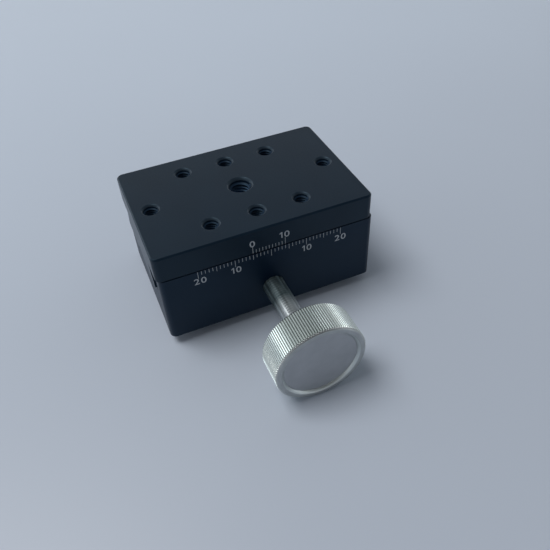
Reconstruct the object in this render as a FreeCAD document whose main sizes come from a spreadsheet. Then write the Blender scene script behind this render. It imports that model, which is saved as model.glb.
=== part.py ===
"""Manual linear translation stage: dovetail slide, rack and pinion drive, side knob.

Frame: X along the travel, Y from the knob side (-Y) to the clamp side (+Y), Z up.
The origin is the centre of the base's seating face. Lengths are in millimetres.
At rest the table stands a little off the middle of its travel, towards -X.
"""
import FreeCAD, Part
import math
import os
import re
import Sketcher
from fcgear import fcgear, involute

# Driving sizes, each one set by itself

SIZES = {
    # Overall block
    "stage_length": 60,
    "stage_width": 40,
    "base_height": 21,
    "plate_thickness": 7.3,
    "running_gap": 0.3,
    "corner_radius": 1.75,
    "top_edge_chamfer": 0.4,
    "base_edge_chamfer": 0.6,
    # Dovetail way
    "rib_neck_width": 23,
    "rib_depth": 6,
    "dovetail_angle": 60,
    "way_clearance": 0.1,
    "floor_clearance": 0.3,
    "way_edge_flat": 0.25,
    "way_clear_height": 1,
    "relief_width": 0.8,
    "relief_depth": 0.5,
    # Gib and its set screws
    "gib_thickness": 1.5,
    "gib_back_clearance": 0.2,
    "gib_top_clearance": 0.3,
    "gib_end_setback": 0.5,
    "gib_dimple_depth": 0.6,
    "gib_dimple_diameter": 1.7,
    "gib_dog_diameter": 1.5,
    "gib_dog_margin": 0.2,
    "gib_screw_diameter": 3,
    "gib_screw_socket": 1.5,
    "gib_screw_end_outer": 7,
    "gib_screw_end_inner": 19,
    "gib_screw_recess": 0.4,
    "side_screw_drop": 3,
    # Lock
    "clamp_screw_diameter": 4,
    "clamp_head_standoff": 1.6,
    "clamp_head_diameter": 7,
    "clamp_head_height": 4,
    "clamp_socket": 3,
    "clamp_pad_length": 1.3,
    "clamp_gap": 0.05,
    # Travel and its stop
    "travel": 20,
    "rest_position": -0.5,
    "stop_screw_diameter": 3,
    "stop_screw_x": 5.5,
    "stop_screw_y": 9,
    "stop_screw_socket": 1.5,
    "stop_dog_diameter": 2,
    "stop_dog_height": 2.6,
    "stop_screw_recess": 1,
    "stop_thread_setback": 0.5,
    "stop_slot_side_clearance": 0.3,
    "stop_slot_top_clearance": 0.5,
    "stop_end_clearance": 0.05,
    # Rack and pinion
    "gear_module": 0.5,
    "pressure_angle": 20,
    "pinion_teeth": 12,
    "pinion_shift": 0.3,
    "pinion_length": 6,
    "pinion_core_diameter": 4.8,
    "tooth_backlash": 0.08,
    "addendum": 1,
    "dedendum": 1.25,
    "root_fillet": 0.2,
    "rack_width": 5,
    "rack_back_height": 5.15,
    "rack_end_block": 6.4,
    "rack_recess_depth": 1,
    "rack_recess_clearance": 0.05,
    "rack_side_clearance": 0.5,
    "rack_tip_clearance": 0.65,
    "rack_mesh_reach": 1.95,
    "rack_screw_diameter": 2.5,
    "rack_screw_hole": 2.7,
    "rack_screw_head": 4.5,
    "rack_screw_head_height": 2.5,
    "rack_screw_head_recess": 0.3,
    "rack_screw_length": 6,
    "rack_screw_socket": 2,
    "rack_screw_end_distance": 3.1,
    # Shaft, bushes and what keeps the shaft in
    "shaft_diameter": 6,
    "rear_journal_diameter": 4,
    "shaft_bore": 8,
    "shaft_opening": 6.3,
    "front_lip": 1.5,
    "bush_fit": 0.01,
    "running_fit": 0.03,
    "rear_bush_length": 10,
    "thrust_washer_thickness": 0.45,
    "thrust_washer_diameter": 7.6,
    "end_float": 0.05,
    "spring_height": 0.6,
    "spring_thickness": 0.25,
    "spring_diameter": 7.4,
    "ring_thickness": 0.6,
    "ring_diameter": 7,
    "ring_groove_diameter": 3.2,
    "ring_opening": 2.8,
    "washer_bore_clearance": 0.1,
    "shaft_end_stub": 1.2,
    "shaft_end_chamfer": 0.3,
    # Knob
    "knob_diameter": 24,
    "knob_thickness": 9,
    "knob_standoff": 21,
    "knob_back_chamfer": 0.4,
    "knob_front_chamfer": 0.5,
    "knob_rim_width": 2.2,
    "knob_mouth_chamfer": 0.5,
    "knob_socket_depth": 4,
    "knob_web": 1.2,
    "knob_flat_depth": 0.5,
    "knob_screw_diameter": 3,
    "knob_screw_head": 5.5,
    "knob_screw_head_height": 2,
    "knob_screw_length": 8,
    "knob_screw_socket": 2,
    "knob_screw_counterbore": 6,
    "knob_screw_hole": 3.2,
    "knob_tap_runout": 0.25,
    "cap_thickness": 1,
    "cap_recess": 0.7,
    "cap_clearance": 0.05,
    # Tapped holes in the table top
    "centre_hole_diameter": 6,
    "centre_hole_depth": 8,
    "table_hole_diameter": 4,
    "table_hole_depth": 5.5,
    "hole_mouth_extra": 0.6,
    "square_spacing": 25,
    "long_spacing": 50,
    # Base mounting screws
    "base_bolt_end_distance": 7.5,
    "base_bolt_spacing_y": 16,
    "base_bolt_hole": 4.5,
    "base_bolt_counterbore": 7.5,
    "base_bolt_seat_height": 6,
    # Shared by all set and cap screws
    "socket_depth_share": 0.5,
    "thread_fit": 0.02,
}

# Places that follow from the driving sizes

PLACES = {
    "half_width": "stage_width / 2",
    "half_length": "stage_length / 2",
    "table_underside": "base_height + running_gap",
    "rib_underside": "table_underside - rib_depth",
    "groove_floor": "rib_underside - floor_clearance",
    "rack_seat": "rib_underside + rack_recess_depth",
    "pinion_pitch_radius": "gear_module * pinion_teeth / 2",
    "mesh_distance": "pinion_pitch_radius + pinion_shift * gear_module",
    "rack_height": "rack_back_height + gear_module",
    "shaft_height": "rack_seat - rack_back_height - mesh_distance",
    "rack_slot_floor": "rack_seat - rack_height - rack_tip_clearance",
    "rack_slot_half": "rack_width / 2 + rack_side_clearance",
    "rack_recess_half": "rack_width / 2 + rack_recess_clearance",
    "way_gap": "way_clearance / sin(dovetail_angle)",
    "side_screw_height": "base_height - side_screw_drop",
    "gib_span": "gib_thickness / sin(dovetail_angle)",
    "gib_back_gap": "gib_back_clearance / sin(dovetail_angle)",
    "gib_side": "way_gap + gib_span",
    "rear_side": "gib_side + gib_back_gap",
    "way_run_to_screws": "(table_underside - side_screw_height) / tan(dovetail_angle)",
    "rib_half_at_side_screws": "rib_neck_width / 2 + way_run_to_screws",
    "gib_face_at_side_screws": "rib_half_at_side_screws + gib_side",
    "gib_screw_tip": "gib_face_at_side_screws - gib_dimple_depth",
    "clamp_screw_tip": "gib_face_at_side_screws + clamp_pad_length + clamp_gap",
    "clamp_screw_length": "half_width + clamp_head_standoff - clamp_screw_tip",
    "shoulder": "pinion_length / 2 + thrust_washer_thickness + end_float",
    "ring_shoulder": "shoulder + rear_bush_length",
    "ring_face": "ring_shoulder + end_float + spring_height",
    "knob_back": "half_width + knob_standoff",
    "screw_seat": "knob_socket_depth + knob_web",
    "cap_seat": "knob_thickness - cap_recess - cap_thickness",
    "stop_slot_depth": "stop_dog_height + stop_slot_top_clearance - floor_clearance",
    "tooth_pitch": "pi * gear_module",
    "spaces_each_side": "ceil((travel + rack_mesh_reach) / tooth_pitch)",
    "space_half": "(tooth_pitch / 2 + tooth_backlash) / 2",
    "space_mouth_half": "space_half + gear_module * tan(pressure_angle)",
    "rack_half_length": "spaces_each_side * tooth_pitch + space_mouth_half + rack_end_block",
    "rack_screw_x": "rack_half_length - rack_screw_end_distance",
    "rack_screw_seat": "rack_height - rack_screw_head_height - rack_screw_head_recess",
}

doc = FreeCAD.newDocument("translation_stage")
sheet = doc.addObject("Spreadsheet::Sheet", "sizes")
for row, (alias, default) in enumerate(SIZES.items(), start=1):
    sheet.set(f"A{row}", alias)
    sheet.set(f"B{row}", str(default))
    sheet.setAlias(f"B{row}", alias)
doc.recompute()


def bound(text):
    """Expression for a property: places spelled out, sizes read from the sheet."""
    def spell(word):
        name = word.group()
        if name in PLACES:
            return f"({bound(PLACES[name])})"
        return f"sizes.{name}" if name in SIZES else name
    return re.sub(r"[a-z_]+", spell, str(text))


def number(text):
    """Present value of an expression."""
    value = sheet.evalExpression(bound(text))
    return float(getattr(value, "Value", value))


# Sketches

def origin_plane(body, role):
    return next(plane for plane in body.Origin.OriginFeatures if plane.Role == role)


def sketch_on(body, role, name, offset="0"):
    """Sketch on one of the body's own origin planes, moved along its normal by offset."""
    sketch = body.newObject("Sketcher::SketchObject", name)
    sketch.AttachmentSupport = [(origin_plane(body, role), "")]
    sketch.MapMode = "FlatFace"
    if offset != "0":
        sketch.setExpression("AttachmentOffset.Base.z", bound(offset))
    return sketch


def drive(sketch, kind, *where, size):
    """Add a dimension whose value follows an expression."""
    index = sketch.addConstraint(Sketcher.Constraint(kind, *where, number(size)))
    sketch.setExpression(f"Constraints[{index}]", bound(size))


def place_point(sketch, line, x, y):
    """Hold the first point of a line, at sketch coordinates given as expressions."""
    for text, kind, axis in ((x, "DistanceX", -2), (y, "DistanceY", -1)):
        if text == "0":
            sketch.addConstraint(Sketcher.Constraint("PointOnObject", line, 1, axis))
        else:
            drive(sketch, kind, -1, 1, line, 1, size=text)


def outline(sketch, points):
    """Closed outline of straight lines through points given as expressions."""
    places = [FreeCAD.Vector(number(x), number(y), 0) for x, y in points]
    lines = [
        sketch.addGeometry(Part.LineSegment(start, end), False)
        for start, end in zip(places, places[1:] + places[:1])
    ]
    for line, following in zip(lines, lines[1:] + lines[:1]):
        sketch.addConstraint(Sketcher.Constraint("Coincident", line, 2, following, 1))
    for line, (x, y) in zip(lines, points):
        place_point(sketch, line, x, y)


def circle(sketch, x, y, diameter):
    """Circle whose centre and diameter are expressions."""
    centre = FreeCAD.Vector(number(x), number(y), 0)
    radius = number(diameter) / 2
    ring = sketch.addGeometry(Part.Circle(centre, FreeCAD.Vector(0, 0, 1), radius), False)
    for text, kind, axis in ((x, "DistanceX", -2), (y, "DistanceY", -1)):
        if text == "0":
            sketch.addConstraint(Sketcher.Constraint("PointOnObject", ring, 3, axis))
        else:
            drive(sketch, kind, -1, 1, ring, 3, size=text)
    drive(sketch, "Diameter", ring, size=diameter)


def hexagon(sketch, across_flats):
    """Regular hexagon about the sketch origin, as for a key socket."""
    corner = f"{across_flats} / 2 / cos(30)"
    turns = range(0, 360, 60)
    outline(sketch, [(f"{corner} * cos({turn})", f"{corner} * sin({turn})") for turn in turns])


def round_slot(sketch, x, y, half_length, radius):
    """Slot along the sketch's X with round ends; half_length reaches to the arc centres."""
    left, right = number(f"{x} - {half_length}"), number(f"{x} + {half_length}")
    middle, reach = number(y), number(radius)
    normal = FreeCAD.Vector(0, 0, 1)

    def line(start_x, end_x, height):
        start, end = FreeCAD.Vector(start_x, height, 0), FreeCAD.Vector(end_x, height, 0)
        return sketch.addGeometry(Part.LineSegment(start, end), False)

    def arc(centre_x, start, end):
        round_end = Part.Circle(FreeCAD.Vector(centre_x, middle, 0), normal, reach)
        return sketch.addGeometry(Part.ArcOfCircle(round_end, start, end), False)

    bottom = line(left, right, middle - reach)
    right_arc = arc(right, -math.pi / 2, math.pi / 2)
    top = line(right, left, middle + reach)
    left_arc = arc(left, math.pi / 2, 3 * math.pi / 2)
    loop = (bottom, right_arc, top, left_arc)
    for piece, following in zip(loop, loop[1:] + loop[:1]):
        sketch.addConstraint(Sketcher.Constraint("Tangent", piece, 2, following, 1))
    sketch.addConstraint(Sketcher.Constraint("Horizontal", bottom))
    drive(sketch, "Radius", right_arc, size=radius)
    drive(sketch, "DistanceX", -1, 1, left_arc, 3, size=f"{x} - {half_length}")
    drive(sketch, "DistanceX", -1, 1, right_arc, 3, size=f"{x} + {half_length}")
    drive(sketch, "DistanceY", -1, 1, right_arc, 3, size=y)


# Features

def volume_of(body):
    doc.recompute()
    return body.Shape.Volume


def new_body(name):
    body = doc.addObject("PartDesign::Body", name)
    body.Label = name
    return body


def pad(body, sketch, length, symmetric=True):
    feature = body.newObject("PartDesign::Pad", f"{sketch.Name}_pad")
    feature.Profile = sketch
    feature.setExpression("Length", bound(length))
    feature.SideType = "Symmetric" if symmetric else "One side"
    body.Tip = feature
    doc.recompute()
    return feature


def revolve(body, sketch):
    """Turn a half outline about the sketch's horizontal axis."""
    feature = body.newObject("PartDesign::Revolution", f"{sketch.Name}_turned")
    feature.Profile = sketch
    feature.ReferenceAxis = (sketch, ["H_Axis"])
    feature.Angle = 360
    body.Tip = feature
    doc.recompute()
    return feature


def cut(body, sketch, depth="", backwards=False, symmetric=False):
    """Pocket; no depth means through everything. The solid has to lose volume."""
    before = volume_of(body)
    feature = body.newObject("PartDesign::Pocket", f"{sketch.Name}_pocket")
    feature.Profile = sketch
    if depth:
        feature.setExpression("Length", bound(depth))
    else:
        feature.Type = "ThroughAll"
    if symmetric:
        feature.SideType = "Symmetric"
    feature.Reversed = backwards
    body.Tip = feature
    if volume_of(body) >= before:
        raise RuntimeError(f"{feature.Name} cuts nothing")
    return feature


def edges_where(shape, wanted):
    """Names of the edges whose curve and middle pass a test."""
    names = []
    for count, edge in enumerate(shape.Edges, start=1):
        middle = edge.valueAt((edge.FirstParameter + edge.LastParameter) / 2)
        if wanted(edge, middle):
            names.append(f"Edge{count}")
    return names


def dress(body, kind, name, amount, wanted):
    """Fillet or chamfer on the chosen edges of the body's present shape."""
    doc.recompute()
    base = body.Tip
    feature = body.newObject(f"PartDesign::{kind}", name)
    feature.Base = (base, edges_where(base.Shape, wanted))
    feature.setExpression("Radius" if kind == "Fillet" else "Size", bound(amount))
    body.Tip = feature
    doc.recompute()
    return feature


def tapped_holes(body, name, plane_offset, centres, diameter, depth):
    """Blind holes at thread size from the top face, with a chamfered mouth."""
    sketch = sketch_on(body, "XY_Plane", name, plane_offset)
    for x, y in centres:
        circle(sketch, x, y, diameter)
    before = volume_of(body)
    hole = body.newObject("PartDesign::Hole", f"{name}_hole")
    hole.Profile = sketch
    hole.setExpression("Diameter", bound(diameter))
    hole.DepthType = "Dimension"
    hole.setExpression("Depth", bound(depth))
    hole.DrillPoint = "Flat"
    hole.HoleCutType = "Countersink"
    hole.HoleCutCustomValues = True
    hole.setExpression("HoleCutDiameter", bound(f"{diameter} + hole_mouth_extra"))
    hole.HoleCutCountersinkAngle = 90
    body.Tip = hole
    if volume_of(body) >= before:
        raise RuntimeError(f"{hole.Name} cuts nothing")


def put(thing, x="0", y="0", z="0"):
    """Place a sub-part by expressions."""
    for axis, text in zip("xyz", (x, y, z)):
        if text != "0":
            thing.setExpression(f"Placement.Base.{axis}", bound(text))


def turned(name, half_outline):
    """Body turned about its own Y axis from (along, radius) points."""
    body = new_body(name)
    sketch = sketch_on(body, "YZ_Plane", f"{name}_half")
    outline(sketch, half_outline)
    revolve(body, sketch)
    return body


def ring(name, inner, outer, length):
    """Plain turned ring from y = 0, radii given."""
    return turned(name, [("0", inner), ("0", outer), (length, outer), (length, inner)])


def key_socket(body, across_flats, offset, depth, towards_minus_y):
    """Hexagonal key socket on the Y axis, cut from the plane y = -offset."""
    sketch = sketch_on(body, "XZ_Plane", f"{body.Name}_socket", offset)
    hexagon(sketch, across_flats)
    cut(body, sketch, depth, backwards=towards_minus_y)


# Heights on the slanted faces of the way

def way_half(height, side_gap="0"):
    """Half width of the way at a height, with a level gap added."""
    run = f"(table_underside - ({height})) / tan(dovetail_angle)"
    return f"(rib_neck_width / 2 + ({side_gap}) + {run})"


SAME = 0.001


def corner_edges(half_x, half_y):
    """Test for the upright edges at the four outer corners."""
    def wanted(edge, middle):
        upright = abs(edge.tangentAt(edge.FirstParameter).z) > 1 - SAME
        at_x, at_y = abs(abs(middle.x) - half_x) < SAME, abs(abs(middle.y) - half_y) < SAME
        return upright and at_x and at_y
    return wanted


def outline_edges(height, half_x, half_y):
    """Test for the edges of the outer outline at one height, rounded corners included."""
    corner = number("corner_radius")

    def wanted(edge, middle):
        level = abs(middle.z - height) < SAME
        flat = abs(edge.tangentAt(edge.FirstParameter).z) < SAME
        outside = abs(middle.x) > half_x - corner or abs(middle.y) > half_y - corner
        return level and flat and outside
    return wanted


# Base

def make_base():
    body = new_body("base_block")
    front_foot = way_half("groove_floor", "way_gap")
    rear_foot = way_half("groove_floor", "rear_side")
    front_lip = f"{way_half('base_height', 'way_gap')} + way_edge_flat"
    rear_lip = f"{way_half('base_height', 'rear_side')} + way_edge_flat"
    lip_foot = "base_height - way_edge_flat * tan(dovetail_angle)"
    relief_floor = "groove_floor - relief_depth"
    block = sketch_on(body, "YZ_Plane", "base_block_outline")
    outline(block, [
        ("-half_width", "0"), ("half_width", "0"),
        ("half_width", "base_height"), ("-half_width", "base_height"),
    ])
    pad(body, block, "stage_length")
    half_x, half_y = number("half_length"), number("half_width")
    dress(body, "Fillet", "base_corners", "corner_radius", corner_edges(half_x, half_y))
    dress(body, "Chamfer", "base_foot_edge", "base_edge_chamfer", outline_edges(0, half_x, half_y))

    way = sketch_on(body, "YZ_Plane", "base_way")
    outline(way, [
        (rear_lip, "base_height + way_clear_height"), (rear_lip, lip_foot),
        (rear_foot, "groove_floor"), (rear_foot, relief_floor),
        (f"{rear_foot} - relief_width", relief_floor), (f"{rear_foot} - relief_width", "groove_floor"),
        ("rack_slot_half", "groove_floor"), ("rack_slot_half", "rack_slot_floor"),
        ("-rack_slot_half", "rack_slot_floor"), ("-rack_slot_half", "groove_floor"),
        (f"relief_width - {front_foot}", "groove_floor"), (f"relief_width - {front_foot}", relief_floor),
        (f"-{front_foot}", relief_floor), (f"-{front_foot}", "groove_floor"),
        (f"-({front_lip})", lip_foot), (f"-({front_lip})", "base_height + way_clear_height"),
    ])
    cut(body, way, "2 * stage_length", symmetric=True)

    opening = sketch_on(body, "XZ_Plane", "shaft_opening_front", "half_width")
    circle(opening, "0", "shaft_height", "shaft_opening")
    cut(body, opening, "front_lip")
    bore = sketch_on(body, "XZ_Plane", "shaft_bore_rear", "-half_width")
    circle(bore, "0", "shaft_height", "shaft_bore")
    cut(body, bore, "stage_width - front_lip", backwards=True)

    bolts = sketch_on(body, "XY_Plane", "base_bolt_holes")
    seats = sketch_on(body, "XY_Plane", "base_bolt_seats", "base_bolt_seat_height")
    for side_x in ("", "-"):
        for side_y in ("", "-"):
            x, y = f"{side_x}(half_length - base_bolt_end_distance)", f"{side_y}base_bolt_spacing_y / 2"
            circle(bolts, x, y, "base_bolt_hole")
            circle(seats, x, y, "base_bolt_counterbore")
    cut(body, bolts, "groove_floor", backwards=True)
    cut(body, seats, "groove_floor - base_bolt_seat_height", backwards=True)

    screws = sketch_on(body, "XZ_Plane", "gib_screw_holes", "-half_width")
    for x in gib_screw_places():
        circle(screws, x, "side_screw_height", "gib_screw_diameter + 2 * thread_fit")
    cut(body, screws, "half_width - rib_neck_width / 2", backwards=True)
    clamp = sketch_on(body, "XZ_Plane", "clamp_screw_hole", "-half_width")
    circle(clamp, "0", "side_screw_height", "clamp_screw_diameter + 2 * thread_fit")
    cut(body, clamp, "half_width - rib_neck_width / 2", backwards=True)
    stop = sketch_on(body, "XY_Plane", "stop_screw_hole")
    circle(stop, "stop_screw_x", "stop_screw_y", "stop_screw_diameter + 2 * thread_fit")
    cut(body, stop, "groove_floor", backwards=True)
    return body


# Gib, its screws and the lock

def gib_screw_places():
    return [
        "gib_screw_end_outer - half_length", "gib_screw_end_inner - half_length",
        "half_length - gib_screw_end_inner", "half_length - gib_screw_end_outer",
    ]


def make_gib():
    body = new_body("gib")
    top = "(base_height - groove_floor - gib_top_clearance)"
    section = sketch_on(body, "YZ_Plane", "gib_section")
    outline(section, [
        (way_half("groove_floor", "way_gap"), "0"),
        (way_half("groove_floor", "gib_side"), "0"),
        (way_half(f"groove_floor + {top}", "gib_side"), top),
        (way_half(f"groove_floor + {top}", "way_gap"), top),
    ])
    pad(body, section, "stage_length - 2 * gib_end_setback")
    dimples = sketch_on(body, "XZ_Plane", "gib_dimples", "-gib_screw_tip")
    for x in gib_screw_places():
        circle(dimples, x, "side_screw_height - groove_floor", "gib_dimple_diameter")
    cut(body, dimples)
    put(body, z="groove_floor")
    return body


def make_gib_screw(count, x):
    """Set screw with a dog point, tip at y = 0."""
    dog = "gib_dimple_depth + gib_screw_diameter / 2 / tan(dovetail_angle) + gib_dog_margin"
    radius, dog_radius = "gib_screw_diameter / 2", "gib_dog_diameter / 2"
    end = "(half_width - gib_screw_recess - gib_screw_tip)"
    body = turned(f"gib_screw_{count}", [
        ("0", "0"), ("0", dog_radius), (dog, dog_radius), (dog, radius), (end, radius), (end, "0"),
    ])
    key_socket(body, "gib_screw_socket", f"-{end}", "gib_screw_diameter * socket_depth_share", True)
    put(body, x=x, y="gib_screw_tip", z="side_screw_height")
    return body


def make_clamp_pad():
    """Brass plug; its slanted end lies on the gib, its flat end meets the lock screw."""
    body = new_body("clamp_pad")
    radius = "clamp_screw_diameter / 2"
    reach = f"({radius} / tan(dovetail_angle))"
    round_face = sketch_on(body, "XZ_Plane", "clamp_pad_round", "-clamp_pad_length")
    circle(round_face, "0", "0", "clamp_screw_diameter")
    pad(body, round_face, f"clamp_pad_length + {reach}", symmetric=False)
    slant = sketch_on(body, "YZ_Plane", "clamp_pad_slant")
    outline(slant, [
        (reach, f"-{radius}"), (f"-{reach}", radius),
        (f"-{reach} - clamp_screw_diameter", radius), (f"-{reach} - clamp_screw_diameter", f"-{radius}"),
    ])
    cut(body, slant, "2 * clamp_screw_diameter", symmetric=True)
    put(body, y="gib_face_at_side_screws", z="side_screw_height")
    return body


def cap_screw(name, diameter, length, head, head_height, socket):
    """Socket head cap screw along Y, tip at y = 0 and head at the far end."""
    end = f"({length} + {head_height})"
    body = turned(name, [
        ("0", "0"), ("0", f"{diameter} / 2"), (length, f"{diameter} / 2"),
        (length, f"{head} / 2"), (end, f"{head} / 2"), (end, "0"),
    ])
    key_socket(body, socket, f"-{end}", f"{head_height} * socket_depth_share", True)
    return body


def make_clamp_screw():
    body = cap_screw(
        "clamp_screw", "clamp_screw_diameter", "clamp_screw_length",
        "clamp_head_diameter", "clamp_head_height", "clamp_socket",
    )
    put(body, y="clamp_screw_tip", z="side_screw_height")
    return body


# Table and rack

def make_table():
    body = new_body("moving_table")
    foot = "(rib_neck_width / 2 + rib_depth / tan(dovetail_angle) - way_edge_flat)"
    foot_top = "way_edge_flat * tan(dovetail_angle) - rib_depth"
    half_section = [
        ("half_width", "plate_thickness"), ("half_width", "0"), ("rib_neck_width / 2", "0"),
        (foot, foot_top), (foot, "-rib_depth"), ("rack_recess_half", "-rib_depth"),
        ("rack_recess_half", "rack_recess_depth - rib_depth"),
    ]
    mirrored = [(f"-{y}", z) for y, z in reversed(half_section)]
    section = sketch_on(body, "YZ_Plane", "table_section")
    outline(section, half_section + mirrored)
    pad(body, section, "stage_length")
    half_x, half_y = number("half_length"), number("half_width")
    plate_top = number("plate_thickness")
    dress(body, "Fillet", "table_corners", "corner_radius", corner_edges(half_x, half_y))
    top_edge = outline_edges(plate_top, half_x, half_y)
    dress(body, "Chamfer", "table_top_edge", "top_edge_chamfer", top_edge)

    slot = sketch_on(body, "XY_Plane", "stop_slot", "-rib_depth")
    slot_radius = "stop_dog_diameter / 2 + stop_slot_side_clearance"
    end_shift = "stop_end_clearance - stop_slot_side_clearance"
    round_slot(slot, "stop_screw_x", "stop_screw_y", f"(travel + {end_shift})", slot_radius)
    cut(body, slot, "stop_slot_depth", backwards=True)
    rack_taps = sketch_on(body, "XY_Plane", "rack_screw_taps", "rack_recess_depth - rib_depth")
    for side in ("", "-"):
        circle(rack_taps, f"{side}rack_screw_x", "0", "rack_screw_diameter + 2 * thread_fit")
    tap_depth = "rack_screw_length - (rack_screw_seat) + 2 * rack_screw_head_recess"
    cut(body, rack_taps, tap_depth, backwards=True)

    tapped_holes(body, "centre_tap", "plate_thickness", [("0", "0")],
                 "centre_hole_diameter", "centre_hole_depth")
    square = [(f"{x}square_spacing / 2", f"{y}square_spacing / 2") for x in ("", "-") for y in ("", "-")]
    middle = [("0", "square_spacing / 2"), ("0", "-square_spacing / 2")]
    ends = [("long_spacing / 2", "0"), ("-long_spacing / 2", "0")]
    tapped_holes(body, "table_taps", "plate_thickness", square + middle + ends,
                 "table_hole_diameter", "table_hole_depth")
    put(body, x="rest_position", z="table_underside")
    return body


def make_rack():
    """Rack with its back at z = 0 and straight-sided tooth spaces cut from below."""
    body = new_body("rack")
    bar = sketch_on(body, "XZ_Plane", "rack_bar")
    outline(bar, [
        ("-rack_half_length", "-rack_height"), ("rack_half_length", "-rack_height"),
        ("rack_half_length", "0"), ("-rack_half_length", "0"),
    ])
    pad(body, bar, "rack_width")
    first = "(-spaces_each_side * tooth_pitch)"
    root_half = "(space_half - dedendum * gear_module * tan(pressure_angle))"
    root = "(dedendum * gear_module - rack_back_height)"
    space = sketch_on(body, "XZ_Plane", "rack_tooth_space")
    outline(space, [
        (f"{first} - space_mouth_half", "-rack_height"), (f"{first} + space_mouth_half", "-rack_height"),
        (f"{first} + {root_half}", root), (f"{first} - {root_half}", root),
    ])
    pocket = cut(body, space, "2 * rack_width", symmetric=True)
    teeth = body.newObject("PartDesign::LinearPattern", "rack_teeth")
    teeth.Originals = [pocket]
    teeth.Direction = (next(axis for axis in body.Origin.OriginFeatures if axis.Role == "X_Axis"), [""])
    teeth.Mode = "Spacing"
    teeth.setExpression("Offset", bound("tooth_pitch"))
    teeth.setExpression("Occurrences", bound("2 * spaces_each_side + 1"))
    body.Tip = teeth
    holes = sketch_on(body, "XY_Plane", "rack_screw_holes", "-rack_height")
    heads = sketch_on(body, "XY_Plane", "rack_screw_heads", "-rack_height")
    for side in ("", "-"):
        circle(holes, f"{side}rack_screw_x", "0", "rack_screw_hole")
        circle(heads, f"{side}rack_screw_x", "0", "rack_screw_head + 2 * rack_recess_clearance")
    cut(body, holes, backwards=True)
    cut(body, heads, "rack_screw_head_height + rack_screw_head_recess", backwards=True)
    put(body, x="rest_position", z="rack_seat")
    return body


def make_rack_screw(name, side):
    """Cap screw up through the rack, head in the rack's counterbore."""
    body = cap_screw(
        name, "rack_screw_diameter", "rack_screw_length",
        "rack_screw_head", "rack_screw_head_height", "rack_screw_socket",
    )
    put(body, x=f"rest_position {side or '+'} rack_screw_x",
        z="rack_seat - (rack_screw_seat) + rack_screw_length")
    body.Placement = FreeCAD.Placement(
        body.Placement.Base, FreeCAD.Rotation(FreeCAD.Vector(1, 0, 0), -90)
    )
    return body


def make_stop_screw():
    """Long set screw from below; its dog runs in the slot of the rib."""
    shoulder = "(groove_floor - stop_thread_setback - stop_screw_recess)"
    end = "(groove_floor + stop_dog_height - stop_screw_recess)"
    radius, dog_radius = "stop_screw_diameter / 2", "stop_dog_diameter / 2"
    body = turned("stop_screw", [
        ("0", "0"), ("0", dog_radius), (f"{end} - {shoulder}", dog_radius),
        (f"{end} - {shoulder}", radius), (end, radius), (end, "0"),
    ])
    key_socket(body, "stop_screw_socket", f"-{end}", "stop_screw_diameter * socket_depth_share", True)
    put(body, x="stop_screw_x", y="stop_screw_y", z=f"stop_screw_recess + {end}")
    body.Placement = FreeCAD.Placement(
        body.Placement.Base, FreeCAD.Rotation(FreeCAD.Vector(1, 0, 0), -90)
    )
    return body


# Shaft, bushes and end retention

def flank_arc(edge):
    """The arc through the ends and middle of an involute flank; other edges as they are."""
    if edge.Curve.TypeId in ("Part::GeomLine", "Part::GeomCircle"):
        return edge
    first, last = edge.FirstParameter, edge.LastParameter
    return Part.Arc(*[edge.valueAt(at) for at in (first, (first + last) / 2, last)]).toShape()


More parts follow.
